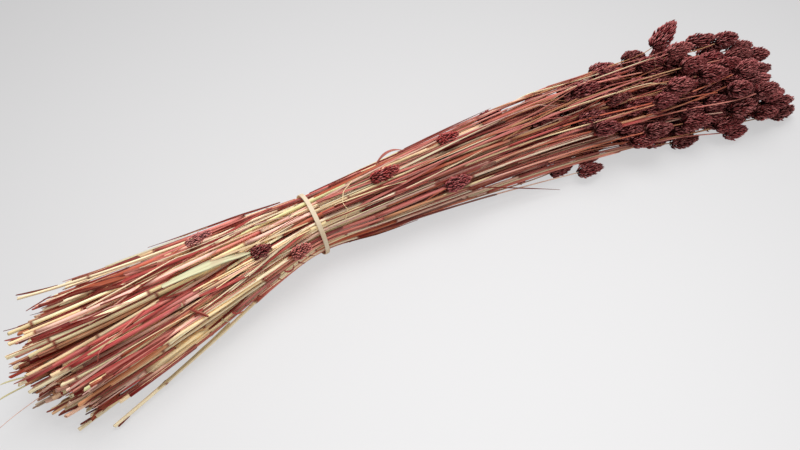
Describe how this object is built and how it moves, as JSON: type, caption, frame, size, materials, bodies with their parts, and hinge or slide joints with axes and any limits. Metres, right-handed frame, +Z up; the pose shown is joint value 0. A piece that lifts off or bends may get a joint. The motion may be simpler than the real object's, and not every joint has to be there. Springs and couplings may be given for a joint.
{
  "type": "bundle of dried canary grass",
  "caption": "Bundle of dried, dyed canary grass: straight culms with dark seed heads, tied with a rubber band and lying on its side.",
  "frame": {"origin": "on the surface the bundle lies on, under the middle of its bounding box", "axes": "+X along the bundle from the cut ends to the seed heads, +Y across it, +Z up from the surface"},
  "size_m": [0.727, 0.1297, 0.0812],
  "materials": {
    "straw_stalk": "satin",
    "dyed_stalk": "satin",
    "pale_leaf": "matte",
    "dyed_leaf": "matte",
    "rubber_band": "matte"
  },
  "bodies": {
    "root": {"stalk_01": "straw_stalk", "stalk_02": "dyed_stalk", "stalk_03": "dyed_stalk", "stalk_04": "dyed_stalk", "stalk_05": "straw_stalk", "stalk_06": "dyed_stalk", "stalk_07": "straw_stalk", "stalk_08": "straw_stalk", "stalk_09": "dyed_stalk", "stalk_10": "dyed_stalk", "stalk_11": "dyed_stalk", "stalk_12": "straw_stalk", "stalk_13": "dyed_stalk", "stalk_14": "straw_stalk", "stalk_15": "straw_stalk", "stalk_16": "dyed_stalk", "stalk_17": "dyed_stalk", "stalk_18": "dyed_stalk", "stalk_19": "straw_stalk", "stalk_20": "dyed_stalk", "stalk_21": "straw_stalk", "stalk_22": "straw_stalk", "stalk_23": "dyed_stalk", "stalk_24": "dyed_stalk", "stalk_25": "dyed_stalk", "stalk_26": "straw_stalk", "stalk_27": "dyed_stalk", "stalk_28": "straw_stalk", "stalk_29": "straw_stalk", "stalk_30": "dyed_stalk", "stalk_31": "dyed_stalk", "stalk_32": "dyed_stalk", "stalk_33": "straw_stalk", "stalk_34": "dyed_stalk", "stalk_35": "straw_stalk", "stalk_36": "straw_stalk", "stalk_37": "dyed_stalk", "stalk_38": "dyed_stalk", "stalk_39": "dyed_stalk", "stalk_40": "straw_stalk", "stalk_41": "dyed_stalk", "stalk_42": "straw_stalk", "stalk_43": "straw_stalk", "stalk_44": "dyed_stalk", "stalk_45": "dyed_stalk", "stalk_46": "dyed_stalk", "stalk_47": "straw_stalk", "stalk_48": "dyed_stalk", "stalk_49": "straw_stalk", "stalk_50": "straw_stalk", "stalk_51": "dyed_stalk", "stalk_52": "dyed_stalk", "rubber_band": "rubber_band", "leaf_blade_broad": "pale_leaf", "leaf_blade_far": "dyed_leaf", "leaf_blade_near": "dyed_leaf", "leaf_blade_arched": "dyed_leaf", "twig_loose": "dyed_stalk", "straw_fibre": "straw_stalk"}
  },
  "joints": []
}
